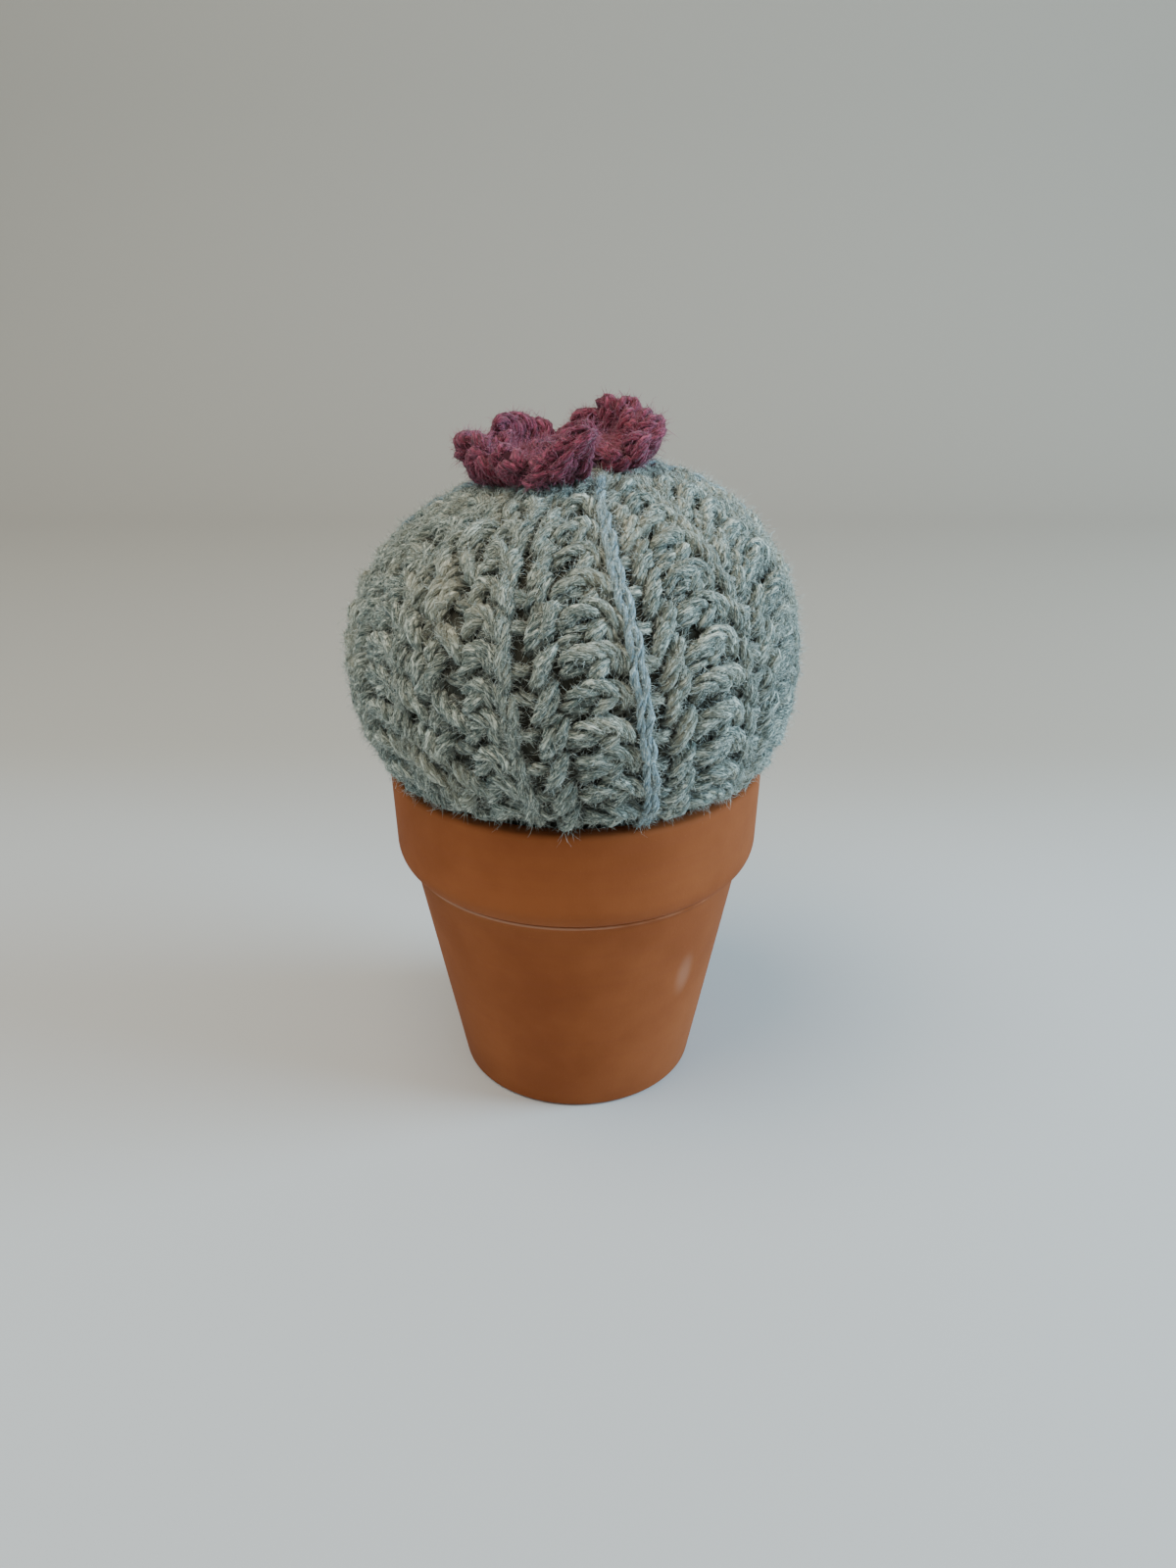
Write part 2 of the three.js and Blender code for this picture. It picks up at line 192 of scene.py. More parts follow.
# %% [markdown]
# ## Yarn
# Worsted yarn is four plies twisted loosely together. Each ply is a curve of its own, bevelled
# with a small ring, that winds round the strand's line and strays a little from its even
# spiral, so the plies splay as they do in soft yarn. A strand swells in its middle, where
# nothing squeezes it, and each end shrinks to a point, which merging the doubled points
# closes. The mesh keeps what its finish and its loose fibres need: how deep a point lies
# between the plies and below the skin, a random tone, the way along the strand, and a UV
# map in turns and millimetres.

# %% Smooth a strand and space its points evenly
def through(points, fine=8):
    """A smooth line through a few given points (a Catmull-Rom spline)."""
    p = np.asarray(points, float)
    p = np.vstack([2 * p[0] - p[1], p, 2 * p[-1] - p[-2]])
    t = np.linspace(0, 1, fine, endpoint=False)[:, None]
    parts = []
    for a, b, c, d in zip(p[:-3], p[1:-2], p[2:-1], p[3:]):
        parts.append(0.5 * (2 * b + (c - a) * t + (2 * a - 5 * b + 4 * c - d) * t ** 2
                            + (3 * b - a - 3 * c + d) * t ** 3))
    return np.vstack(parts + [p[-2:-1]])


def evenly(line, step):
    length = np.r_[0, np.cumsum(np.linalg.norm(np.diff(line[:, :3], axis=0), axis=1))]
    count = max(4, int(round(length[-1] / step)) + 1)
    at = np.linspace(0, length[-1], count)
    return np.stack([np.interp(at, length, column) for column in line.T], axis=1), length[-1]


# %% Wind four plies round a strand's line
PLIES = 4
SIDES = 5
PLY_SPREAD = 0.5
PLY_RADIUS = 0.5
PLY_TURN = 10.0
PLY_WANDER = 0.08
YARN_STEP = 1.0
UV_APART = 31.7


def unit(vectors):
    return vectors / (np.linalg.norm(vectors, axis=-1, keepdims=True) + 1e-12)


def ply_section():
    section = bpy.data.curves.new("ply_section", "CURVE")
    spline = section.splines.new("POLY")
    spline.points.add(SIDES - 1)
    for i, point in enumerate(spline.points):
        angle = -2 * math.pi * i / SIDES
        point.co = (math.cos(angle) * MM, math.sin(angle) * MM, 0, 1)
    spline.use_cyclic_u = True
    holder = bpy.data.objects.new("ply_section", section)
    bpy.context.scene.collection.objects.link(holder)
    return holder


def square_to(ahead):
    """Two directions square to a line at each of its points, carried along without twist."""
    right = [unit(np.cross(ahead[0], (0.3, 0.5, 0.8)))]
    for direction in ahead[1:]:
        right.append(unit(right[-1] - direction * np.dot(right[-1], direction)))
    right = np.array(right)
    return right, np.cross(ahead, right)


def wander(part, size):
    """A slow random change along a strand."""
    return np.interp(part, np.linspace(0, 1, 4), rng.normal(0, size, 4))


def set_values(mesh, name, kind, values):
    field = "vector" if kind == "FLOAT_VECTOR" else "value"
    mesh.attributes.new(name, kind, "POINT").data.foreach_set(field, values.ravel())


def strand_map(mesh, starts):
    """UV map: U counts turns round the ply, V millimetres along it."""
    corner = np.empty(len(mesh.loops), int)
    mesh.loops.foreach_get("vertex_index", corner)
    side = (corner % SIDES).reshape(-1, 4)
    wraps = (side.max(axis=1) - side.min(axis=1) > 1)[:, None]
    turn = np.where(wraps & (side == 0), SIDES, side) / SIDES
    along = starts[corner // SIDES]
    while mesh.uv_layers:
        mesh.uv_layers.remove(mesh.uv_layers[0])
    layer = mesh.uv_layers.new(name="strand")
    layer.uv.foreach_set("vector", np.stack([turn.ravel(), along], axis=1).ravel())


def wind_plies(curve, points, radius, rough, rings):
    """Adds a strand's plies to the curve, and to rings what each of their points has to keep:
    its place and height on the strand's line, the way along, radius, place on the UV map, tone."""
    line, length = evenly(points, YARN_STEP)
    count = len(line)
    part = np.linspace(0, 1, count)
    ahead = unit(np.gradient(line[:, :3], axis=0))
    right, up = square_to(ahead)
    ends = np.clip(np.minimum(part, 1 - part) * length / (0.9 * radius), 0, 1)
    swell = radius * (0.84 + 0.2 * np.sin(math.pi * part)) * np.sqrt(1 - (1 - ends) ** 2)
    turns = length / (PLY_TURN * rng.normal(1, 0.1))
    start = rng.random()
    tone = rng.random()
    for ply in range(PLIES):
        angle = 2 * math.pi * (start + ply / PLIES + turns * part + wander(part, PLY_WANDER))
        spread = PLY_SPREAD * swell * (1 + wander(part, 0.2))
        winding = np.cos(angle)[:, None] * right + np.sin(angle)[:, None] * up
        centre = line[:, :3] + spread[:, None] * winding
        spline = curve.splines.new("POLY")
        spline.points.add(count - 1)
        spline.points.foreach_set("co", np.c_[centre * MM, np.ones(count)].ravel())
        thick = PLY_RADIUS * swell * (rng.normal(1, 0.11) + rng.normal(0, rough, count))
        spline.points.foreach_set("radius", thick)
        own_tone = np.clip(tone + rng.normal(0, 0.2), 0, 1)
        rings.append(np.c_[line, ahead, np.full(count, radius), UV_APART * len(rings) + length * part,
                           np.full(count, own_tone)])


def keep_values(mesh, rings):
    """What the finish and the loose fibres read from each point of the mesh."""
    strand_map(mesh, rings[:, 8])
    spots = np.empty(len(mesh.vertices) * 3)
    mesh.vertices.foreach_get("co", spots)
    corners = np.repeat(rings, SIDES, axis=0)
    from_axis = np.linalg.norm(spots.reshape(-1, 3) / MM - corners[:, :3], axis=1) / corners[:, 7]
    set_values(mesh, "groove", "FLOAT", 1 - smooth(0.3, 0.95, from_axis))
    set_values(mesh, "depth", "FLOAT", smooth(1.3, 3.3, -corners[:, 3]))
    set_values(mesh, "along", "FLOAT_VECTOR", corners[:, 4:7])
    set_values(mesh, "tone", "FLOAT", corners[:, 9])


def soften(piece, grain, height):
    """Shifts the surface in and out by a cloudy pattern, as soft wool never lies even."""
    lumps = bpy.data.textures.new("lumps", "CLOUDS")
    lumps.noise_scale = grain * MM
    displace = piece.modifiers.new("lumps", "DISPLACE")
    displace.texture = lumps
    displace.texture_coords = "LOCAL"
    displace.strength = height * MM
    bpy.ops.object.modifier_apply(modifier=displace.name)


# %% Make a piece of yarn from its strands
def make_yarn(name, strands, rough=0.09):
    """strands: (points, radius) pairs, each point x, y, z and height over the skin, in mm."""
    section = ply_section()
    curve = bpy.data.curves.new(name, "CURVE")
    curve.dimensions = "3D"
    curve.twist_mode = "MINIMUM"
    curve.bevel_mode = "OBJECT"
    curve.bevel_object = section
    rings = []
    for points, radius in strands:
        wind_plies(curve, points, radius, rough, rings)
    piece = bpy.data.objects.new(name, curve)
    bpy.context.scene.collection.objects.link(piece)
    only(piece)
    bpy.ops.object.convert(target="MESH")
    keep_values(piece.data, np.vstack(rings))
    bpy.ops.object.mode_set(mode="EDIT")
    bpy.ops.mesh.select_all(action="SELECT")
    bpy.ops.mesh.remove_doubles(threshold=1e-7)
    bpy.ops.object.mode_set(mode="OBJECT")
    soften(piece, 1.7, 3.3 * rough)
    bpy.ops.object.shade_smooth()
    bpy.data.objects.remove(section)
    print(f"{name}: {len(strands)} strands, {len(piece.data.polygons)} faces")
    return piece


# %% [markdown]
# ## Small helpers for every piece
# A piece is selected alone before an operator acts on it, and in the end it rides on the
# part's one body, gets its material and stands for the solid that it replaces.

# %% Select, dress and attach
def only(piece):
    bpy.ops.object.select_all(action="DESELECT")
    piece.select_set(True)
    bpy.context.view_layer.objects.active = piece


def mesh_piece(name, points, faces):
    """A new mesh object from points in millimetres."""
    mesh = bpy.data.meshes.new(name)
    mesh.from_pydata(np.asarray(points, float) * MM, [], faces)
    piece = bpy.data.objects.new(name, mesh)
    bpy.context.scene.collection.objects.link(piece)
    only(piece)
    return piece


def attach(piece, slot, material, *solids):
    piece.data.materials.clear()
    piece.data.materials.append(material)
    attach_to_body(piece, "root")
    if solids:
        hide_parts(*solids)


# %% [markdown]
# ## Shaders as expressions
# `Wire` wraps a socket, so that `1 - mask * 0.5` adds the Math nodes it needs. `Finish`
# holds one material, and makes every other node with one method.

# %% Shader helpers
class Wire:
    def __init__(self, finish, socket):
        self.finish = finish
        self.socket = socket

    def _math(self, operation, first, second):
        return self.finish.node("ShaderNodeMath", {"operation": operation}, first, second)

    def __add__(self, other):
        return self._math("ADD", self, other)

    __radd__ = __add__

    def __sub__(self, other):
        return self._math("SUBTRACT", self, other)

    def __rsub__(self, other):
        return self._math("SUBTRACT", other, self)

    def __mul__(self, other):
        return self._math("MULTIPLY", self, other)

    __rmul__ = __mul__

    def between(self, low, high):
        """0 below low, 1 above high, smooth in between."""
        return self.finish.node("ShaderNodeMapRange", {"interpolation_type": "SMOOTHSTEP"},
                                self, low, high, 0.0, 1.0)


class Finish:
    def __init__(self, name, roughness, **constants):
        self.material = bpy.data.materials.new(name)
        self.material.use_nodes = True
        self.tree = self.material.node_tree
        self.surface = next(n for n in self.tree.nodes if n.type == "BSDF_PRINCIPLED")
        self.set("Roughness", roughness)
        for socket, value in constants.items():
            self.set(socket.replace("_", " "), value)

    def _feed(self, socket, value):
        if isinstance(value, Wire):
            self.tree.links.new(value.socket, socket)
        elif value is not None:
            socket.default_value = value

    def set(self, socket, value):
        self._feed(self.surface.inputs[socket], value)

    def node(self, kind, settings=None, *values, output=0, **named):
        made = self.tree.nodes.new(kind)
        for setting, value in (settings or {}).items():
            setattr(made, setting, value)
        for socket, value in zip(made.inputs, values):
            self._feed(socket, value)
        for socket, value in named.items():
            self._feed(made.inputs[socket], value)
        return Wire(self, made.outputs[output])

    def blend(self, factor, first, second):
        made = self.tree.nodes.new("ShaderNodeMix")
        made.data_type = "RGBA"
        self._feed(made.inputs[0], factor)
        self._feed(made.inputs[6], first)
        self._feed(made.inputs[7], second)
        return Wire(self, made.outputs[2])

    def scaled(self, vector, scale):
        return self.node("ShaderNodeVectorMath", {"operation": "MULTIPLY"}, vector, scale)

    def noise(self, vector, scale, detail=3.0, roughness=0.5, distortion=0.0):
        return self.node("ShaderNodeTexNoise", {}, Vector=vector, Scale=scale, Detail=detail,
                         Roughness=roughness, Distortion=distortion)

    def attribute(self, name):
        return self.node("ShaderNodeAttribute", {"attribute_name": name}, output="Fac")

    def coordinates(self, output="Object"):
        return self.node("ShaderNodeTexCoord", output=output)

    def distance(self, vector, point, scale):
        """How far a place is from a point, with each axis stretched by the scale."""
        apart = self.node("ShaderNodeVectorMath", {"operation": "SUBTRACT"}, vector, point)
        return self.node("ShaderNodeVectorMath", {"operation": "LENGTH"},
                         self.scaled(apart, scale), output="Value")

    def bump(self, height, strength, distance):
        self.set("Normal", self.node("ShaderNodeBump", {}, Strength=strength, Distance=distance,
                                     Height=height))


def rgb(red, green, blue):
    """An sRGB colour, 0 to 255, as the linear colour that shaders use."""
    def linear(value):
        value = value / 255
        return value / 12.92 if value <= 0.04045 else ((value + 0.055) / 1.055) ** 2.4
    return (linear(red), linear(green), linear(blue), 1.0)


# %% [markdown]
# ## Yarn finish
# Fibres run along each ply, so the streaks are a noise stretched along the ply's own UV
# map: a coarse one for bundles of fibres and a fine one for single fibres. Each ply has its
# own tone and is painted paler on its outer side, with painted shade towards the strand's
# middle where the plies meet. What lies deep between stitches gets a darker, browner painted
# shade, because only light that has bounced off yarn gets there.

# %% Yarn materials
def yarn_finish(name, deep, dark, pale, warm, streaks=0.6):
    finish = Finish(name, 0.95, Sheen_Weight=0.2)
    finish.set("Specular IOR Level", 0.12)
    strand = finish.coordinates("UV")
    bundles = finish.noise(finish.scaled(strand, (6.0, 0.45, 1.0)), 1.0, 2.0, 0.5)
    fibres = finish.noise(finish.scaled(strand, (18.0, 1.3, 1.0)), 1.0, 2.0, 0.6, 0.8)
    patches = finish.noise(finish.coordinates(), 60.0, 2.0)
    apart = bundles - 0.5
    lines = (apart * apart).between(0.0, 0.0035)
    light = fibres.between(0.36, 0.64) * 0.75 + bundles.between(0.4, 0.6) * 0.25
    light = light * (0.7 + finish.attribute("tone") * 0.4) * (1 - streaks + lines * streaks)
    # Painted shade: a ply darkens towards the strand's middle, where the plies meet.
    light = light - finish.attribute("groove") * 0.3
    colour = finish.blend(light, dark, pale)
    colour = finish.blend(patches.between(0.45, 0.72) * 0.4, colour, warm)
    # Painted shade: what lies deep between stitches turns darker and browner.
    colour = finish.blend(finish.attribute("depth") * 0.85, colour, deep)
    finish.set("Base Color", colour)
    finish.bump(lines * 0.6 + fibres * 0.4, 1.0, 0.0006)
    return finish.material


cactus_yarn = yarn_finish("cactus_yarn", rgb(56, 54, 42), rgb(80, 95, 90),
                          rgb(226, 232, 216), rgb(186, 177, 148))
# The tight ridges stand out, so their yarn is a paler, bluer copy of the same yarn: painted light.
lit_ridge_yarn = yarn_finish("lit_ridge_yarn", rgb(60, 66, 62), rgb(112, 138, 148),
                         rgb(232, 254, 255), rgb(190, 214, 220))
flower_yarn = yarn_finish("flower_yarn", rgb(50, 14, 18), rgb(84, 30, 44),
                          rgb(178, 90, 114), rgb(140, 56, 66), streaks=0.3)


# %% [markdown]
# ## Terracotta pot
# A pot like this is pressed and turned, so its section is drawn once and spun. The collar
# has a straight band, then an undercut that curves in to the crease, where a fine bead runs
# round. Arcs make the soft lip, because a sharp edge never catches light.

# %% Draw the pot's section and spin it
def arc(radius, height, size, start, stop, steps=6):
    angles = np.radians(np.linspace(start, stop, steps))
    return [(radius + size * math.cos(a), height + size * math.sin(a)) for a in angles]


def pot_section():
    crease = CREASE_HEIGHT
    section = [(DRAIN_RADIUS, 0.0)]
    section += arc(BASE_RADIUS - 1.2, 1.2, 1.2, -90, -10)
    section += [(CREASE_RADIUS - 0.5, crease - 2.2), (CREASE_RADIUS - 0.25, crease - 1.3)]
    section += arc(CREASE_RADIUS - 0.15, BEAD_HEIGHT, BEAD_RADIUS, -70, 70)
    section += [(CREASE_RADIUS - 0.05, crease + 0.1)]
    for i in range(1, 13):
        angle = math.radians(90 * i / 12)
        section.append((CREASE_RADIUS + (RIM_FOOT_RADIUS - CREASE_RADIUS) * math.sin(angle),
                        crease + UNDERCUT_HEIGHT * (1 - math.cos(angle))))
    section += [(RIM_FOOT_RADIUS + 0.25, POT_HEIGHT - BAND_HEIGHT / 2)]
    section += arc(RIM_RADIUS - LIP_RADIUS, POT_HEIGHT - LIP_RADIUS, LIP_RADIUS, 5, 90)
    section += arc(MOUTH_RADIUS + LIP_RADIUS, POT_HEIGHT - LIP_RADIUS, LIP_RADIUS, 95, 180)
    section += [(FLOOR_RADIUS + 1, FLOOR_THICKNESS + 1.4), (FLOOR_RADIUS - 1, FLOOR_THICKNESS)]
    section += [(DRAIN_RADIUS + 0.6, FLOOR_THICKNESS), (DRAIN_RADIUS, FLOOR_THICKNESS - 0.6)]
    section += [(DRAIN_RADIUS, 0.0)]
    return section


bpy.ops.object.select_all(action="DESELECT")
section = pot_section()
pot_mesh = bpy.data.meshes.new("terracotta_pot")
pot_mesh.from_pydata([(r * MM, 0, z * MM) for r, z in section],
                     [(i, i + 1) for i in range(len(section) - 1)], [])
pot = bpy.data.objects.new("terracotta_pot", pot_mesh)
bpy.context.scene.collection.objects.link(pot)
only(pot)
bpy.ops.object.mode_set(mode="EDIT")
bpy.ops.mesh.select_all(action="SELECT")
bpy.ops.mesh.spin(steps=180, angle=2 * math.pi, center=(0, 0, 0), axis=(0, 0, 1))
bpy.ops.mesh.select_all(action="SELECT")
bpy.ops.mesh.remove_doubles(threshold=1e-6)
bpy.ops.mesh.normals_make_consistent(inside=False)
bpy.ops.object.mode_set(mode="OBJECT")
bpy.ops.object.shade_smooth_by_angle(angle=math.radians(50))
print("pot:", len(pot.data.polygons), "faces")

# %% Terracotta finish
PALE_STREAK_CENTRE = (24 * MM, -24 * MM, 32 * MM)
BEAD_Z = BEAD_HEIGHT * MM
clay = Finish("terracotta_clay", 0.86)
clay.set("Specular IOR Level", 0.3)
place = clay.coordinates()
turning = clay.noise(clay.scaled(place, (12.0, 12.0, 800.0)), 1.0, 3.0, 0.6)
grain = clay.noise(place, 1500.0, 3.0, 0.7)
clouds = clay.noise(place, 34.0, 4.0, 0.6)
# A pale vertical streak is painted on the pot's right front, round this centre.
pale_streak = clay.distance(place, PALE_STREAK_CENTRE, (240.0, 240.0, 120.0)) + clouds * 0.9
body = clay.blend(clouds.between(0.35, 0.7), rgb(134, 70, 29), rgb(148, 82, 40))
body = clay.blend(turning.between(0.45, 0.8) * 0.22, body, rgb(134, 68, 38))
body = clay.blend(grain.between(0.62, 0.8) * 0.22, body, rgb(186, 120, 86))
body = clay.blend(0.17 - pale_streak.between(0.7, 1.35) * 0.17, body, rgb(206, 166, 142))
height = clay.node("ShaderNodeSeparateXYZ", {}, place, output=2)
# Painted highlight: a broken pale line along the bead at the crease.
bead_highlight = height.between(BEAD_Z - 0.5 * MM, BEAD_Z) - height.between(BEAD_Z + 0.1 * MM, BEAD_Z + 0.5 * MM)
body = clay.blend(bead_highlight * clouds.between(0.4, 0.6) * 0.45, body, rgb(200, 156, 128))
clay.set("Base Color", body)
clay.set("Roughness", 0.78 + grain * 0.16)
clay.bump(turning * 0.4 + grain * 0.6, 0.3, 0.0002)
attach(pot, "terracotta", clay.material, "pot")

# %% [markdown]
# ## Stuffed body
# Under the stitches lies the stretched back of the crochet, tight with stuffing. It only
# shows as the dark between strands. A sphere is pulled to the ball's outline, a little
# inside it.

# %% Shape a sphere to the ball
BODY_INSET = 2.7
bpy.ops.object.select_all(action="DESELECT")
bpy.ops.mesh.primitive_uv_sphere_add(segments=170, ring_count=120, radius=1.0)
body_piece = bpy.context.object
body_piece.name = body_piece.data.name = "stuffed_body"
round_spots = np.empty(len(body_piece.data.vertices) * 3)
body_piece.data.vertices.foreach_get("co", round_spots)
round_spots = round_spots.reshape(-1, 3)
polar = np.arccos(np.clip(round_spots[:, 2], -1, 1)) / math.pi
stitches = (polar * outline_length[-1] - GATHERED_CROWN) / STITCH_PITCH
turns = (np.arctan2(round_spots[:, 0], -round_spots[:, 1]) - FIRST_RIDGE) * RIBS / (2 * math.pi)
body_piece.data.vertices.foreach_set("co", (on_ball(turns, stitches, -BODY_INSET) * MM).ravel())
print("stuffed body:", len(body_piece.data.polygons), "faces")
only(body_piece)
soften(body_piece, 2.2, 1.0)
bpy.ops.object.shade_smooth()

# The back of the crochet is coloured near black: painted shade, for the dark between strands.
shade = Finish("painted_shade_yarn", 1.0)
felt = shade.noise(shade.scaled(shade.coordinates(), (900.0, 900.0, 420.0)), 1.0, 3.0, 0.7)
shade.set("Base Color", shade.blend(felt, rgb(28, 28, 22), rgb(84, 84, 72)))
shade.bump(felt, 0.8, 0.0008)
attach(body_piece, "body_yarn", shade.material, "crochet_cover")

# %% [markdown]
# ## Stitches
# The rows run up and down the ball, worked in the back loops, which leaves one raised chain
# on every second row. Across one rib, from left to right, come that chain, a file of holes,
# strands that slant up to the right in pairs, a second file of holes, and wide arched
# strands that hook down at their right end. Each is drawn once, as a few points
# (ribs across, stitches down, height over the skin), and copied with small random shifts.

# %% One stitch, drawn flat
LINK = [(0.02, 0.36, -2.7), (0.08, 0.46, -1.5), (0.15, 0.48, -1.5), (0.22, 0.38, -2.8)]
SLANT = [(0.185, 0.28, -3.4), (0.21, 0.08, -1.7), (0.25, -0.28, -0.85), (0.295, -0.60, -1.1),
         (0.325, -0.80, -3.0)]
SLANT_BESIDE = [(0.265, 0.88, -3.4), (0.29, 0.68, -1.7), (0.335, 0.32, -0.9), (0.37, 0.0, -1.2),
                (0.39, -0.18, -3.2)]
SLANT_UNDER = [(0.22, 0.62, -3.6), (0.25, 0.42, -2.6), (0.29, 0.05, -2.2), (0.32, -0.25, -2.4),
               (0.345, -0.42, -3.6)]
ARCH = [(0.42, 0.66, -3.4), (0.455, 0.44, -1.7), (0.54, 0.20, -0.8), (0.66, 0.02, -0.5),
        (0.79, 0.0, -0.65), (0.885, 0.22, -1.0), (0.935, 0.50, -1.7), (0.945, 0.78, -3.3)]
ARCH_UNDER = [(0.42, 0.98, -3.6), (0.46, 0.76, -2.2), (0.53, 0.56, -1.6), (0.62, 0.40, -1.5),
              (0.70, 0.28, -1.9), (0.76, 0.20, -3.2)]
BULGE = [(0.64, 0.90, -3.2), (0.67, 0.70, -1.5), (0.72, 0.45, -0.95), (0.775, 0.28, -1.4),
         (0.80, 0.15, -2.6)]
HOOK = [(0.79, 0.10, -2.6), (0.84, 0.28, -1.5), (0.87, 0.52, -1.4), (0.875, 0.80, -3.1)]
HOOK_BELOW = [(0.77, 0.95, -3.4), (0.81, 0.76, -2.5), (0.86, 0.70, -2.4), (0.91, 0.80, -2.6),
              (0.94, 1.02, -3.4)]
CHAIN_LEFT = [(-0.015, -0.20, -2.0), (-0.032, 0.10, -0.8), (-0.03, 0.45, -0.4),
              (-0.01, 0.80, -0.7), (0.008, 1.05, -2.0)]
CHAIN_RIGHT = [(0.0, 0.15, -2.0), (0.025, 0.40, -0.9), (0.03, 0.75, -0.55), (0.014, 1.10, -0.9),
               (-0.008, 1.35, -2.0)]
RIB_STITCH = [("slanted_stitches", LINK, 1.4), ("slanted_stitches", SLANT, 1.5),
              ("slanted_stitches", SLANT_BESIDE, 1.55), ("slanted_stitches", SLANT_UNDER, 1.5),
              ("arched_stitches", ARCH, 1.65), ("arched_stitches", ARCH_UNDER, 1.5),
              ("hooked_stitches", BULGE, 1.5), ("hooked_stitches", HOOK, 1.3),
              ("hooked_stitches", HOOK_BELOW, 1.25)]

# %% [markdown]
# Where the flat crochet was closed into a ball, a seam runs down one rib: its strands cross
# from side to side and stand upright in turn, at about twice the pitch of a stitch. The rib's
# own strands lie deeper there and show between them.

# %% The seam's strands, drawn flat
SEAM_PERIOD = 2.15
SEAM_STITCH = [([(-0.02, -0.10, -3.0), (0.03, 0.15, -1.2), (0.12, 0.50, -0.8), (0.20, 0.85, -1.1),
                 (0.26, 1.15, -3.0)], 1.85),
               ([(0.38, 0.0, -3.0), (0.44, 0.25, -1.3), (0.54, 0.60, -0.9), (0.64, 0.90, -1.2),
                 (0.69, 1.15, -3.0)], 1.85),
               ([(0.22, 1.0, -3.0), (0.23, 1.30, -1.3), (0.25, 1.70, -1.0), (0.25, 2.10, -1.5),
                 (0.24, 2.35, -3.0)], 1.75),
               ([(0.47, 1.0, -3.0), (0.43, 1.30, -1.3), (0.37, 1.70, -1.0), (0.36, 2.05, -1.4),
                 (0.38, 2.30, -3.0)], 1.75),
               ([(0.32, 0.50, -3.0), (0.335, 0.80, -1.7), (0.335, 1.15, -1.5), (0.33, 1.45, -3.0)], 1.5),
               ([(0.08, 1.15, -3.0), (0.10, 1.45, -1.7), (0.12, 1.80, -1.6), (0.11, 2.10, -3.0)], 1.5),
               ([(0.06, 0.10, -3.4), (0.20, 0.20, -2.3), (0.34, 0.10, -2.2), (0.46, 0.25, -3.4)], 1.5),
               ([(0.16, 0.95, -3.4), (0.30, 1.10, -2.3), (0.46, 1.00, -2.2), (0.60, 1.10, -3.4)], 1.5),
               ([(0.26, 0.35, -3.4), (0.38, 0.48, -2.2), (0.48, 0.38, -2.2), (0.60, 0.45, -3.4)], 1.5),
               ([(0.42, 1.55, -3.4), (0.54, 1.68, -2.1), (0.66, 1.60, -2.1), (0.76, 1.75, -3.4)], 1.5)]
SHORT_ARCH = [(0.64, 0.45, -3.2), (0.68, 0.20, -1.4), (0.76, 0.02, -0.9), (0.86, 0.10, -1.0),
              (0.93, 0.40, -1.5), (0.95, 0.65, -3.2)]

FIRST_STITCH = -1
LAST_STITCH = int(SEAT_STITCH) + 1
SEAM_RIB = 11
TIGHT_RIDGES = (1, 4, 9)
CROWDED_ROWS = 3.2
UNDER_SEAM = 1.6
SETTLING = 0.25
STRAND_SHIFT = (0.010, 0.045, 0.12)
POINT_SHIFT = (0.006, 0.02, 0.08)


def lay(drawing, rib, stitch, radius, loose=1.3):
    """Bends one drawn strand round the ball. It shifts at random by a few tenths of a mm, as
    a whole and point by point: across, down and in height."""
    points = np.array(drawing, float)
    for column, place in enumerate((rib, stitch, -SETTLING)):
        shift = rng.normal(place, STRAND_SHIFT[column] * loose)
        points[:, column] += shift + rng.normal(0, POINT_SHIFT[column] * loose, len(points))
    flat = through(points)
    flat[:, 2] -= 0.8 * smooth(SEAT_STITCH - 0.4, SEAT_STITCH + 0.2, flat[:, 1])
    flat[:, 1] = np.minimum(flat[:, 1], SEAT_STITCH + 0.55)
    crowded = 0.94 + 0.06 * smooth(0, 3, stitch)
    return np.c_[on_ball(*flat.T), flat[:, 2]], radius * crowded * rng.normal(1, 0.05)


def shows(drawing, stitch):
    return stitch + min(point[1] for point in drawing) < SEAT_STITCH - 0.1


# %% Work all the stitches
files = {"ridge_chains": [], "tight_ridges": [], "slanted_stitches": [], "arched_stitches": [],
         "hooked_stitches": [], "seam_stitches": []}
for rib in range(RIBS):
    offset = rng.random()
    for stitch in range(FIRST_STITCH, LAST_STITCH):
        down = stitch + offset
        if rib == SEAM_RIB:
            chosen = [("seam_stitches", SHORT_ARCH, 1.55), ("seam_stitches", BULGE, 1.5),
                      ("seam_stitches", HOOK, 1.3), ("seam_stitches", HOOK_BELOW, 1.3)]
            for drawing in (SLANT, SLANT_BESIDE, ARCH_UNDER):
                sunk = [(across, along, lift - UNDER_SEAM) for across, along, lift in drawing]
                chosen.append(("seam_stitches", sunk, 1.55))
        else:
            chosen = RIB_STITCH
        for name, drawing, radius in chosen:
            crowded_out = down < CROWDED_ROWS and drawing in (LINK, SLANT_UNDER, ARCH_UNDER, HOOK_BELOW)
            crowded_out |= down < CROWDED_ROWS / 2 and drawing in (SLANT_BESIDE, BULGE, HOOK)
            if shows(drawing, down) and not crowded_out:
                files[name].append(lay(drawing, rib, down, radius))
        if rib not in TIGHT_RIDGES:
            for drawing in (CHAIN_LEFT, CHAIN_RIGHT):
                if shows(drawing, down):
                    files["ridge_chains"].append(lay(drawing, rib, down, 1.1, 0.9))
for start in np.arange(FIRST_STITCH, SEAT_STITCH, SEAM_PERIOD):
    for drawing, radius in SEAM_STITCH:
        if shows(drawing, start):
            files["seam_stitches"].append(lay(drawing, SEAM_RIB, start, radius))
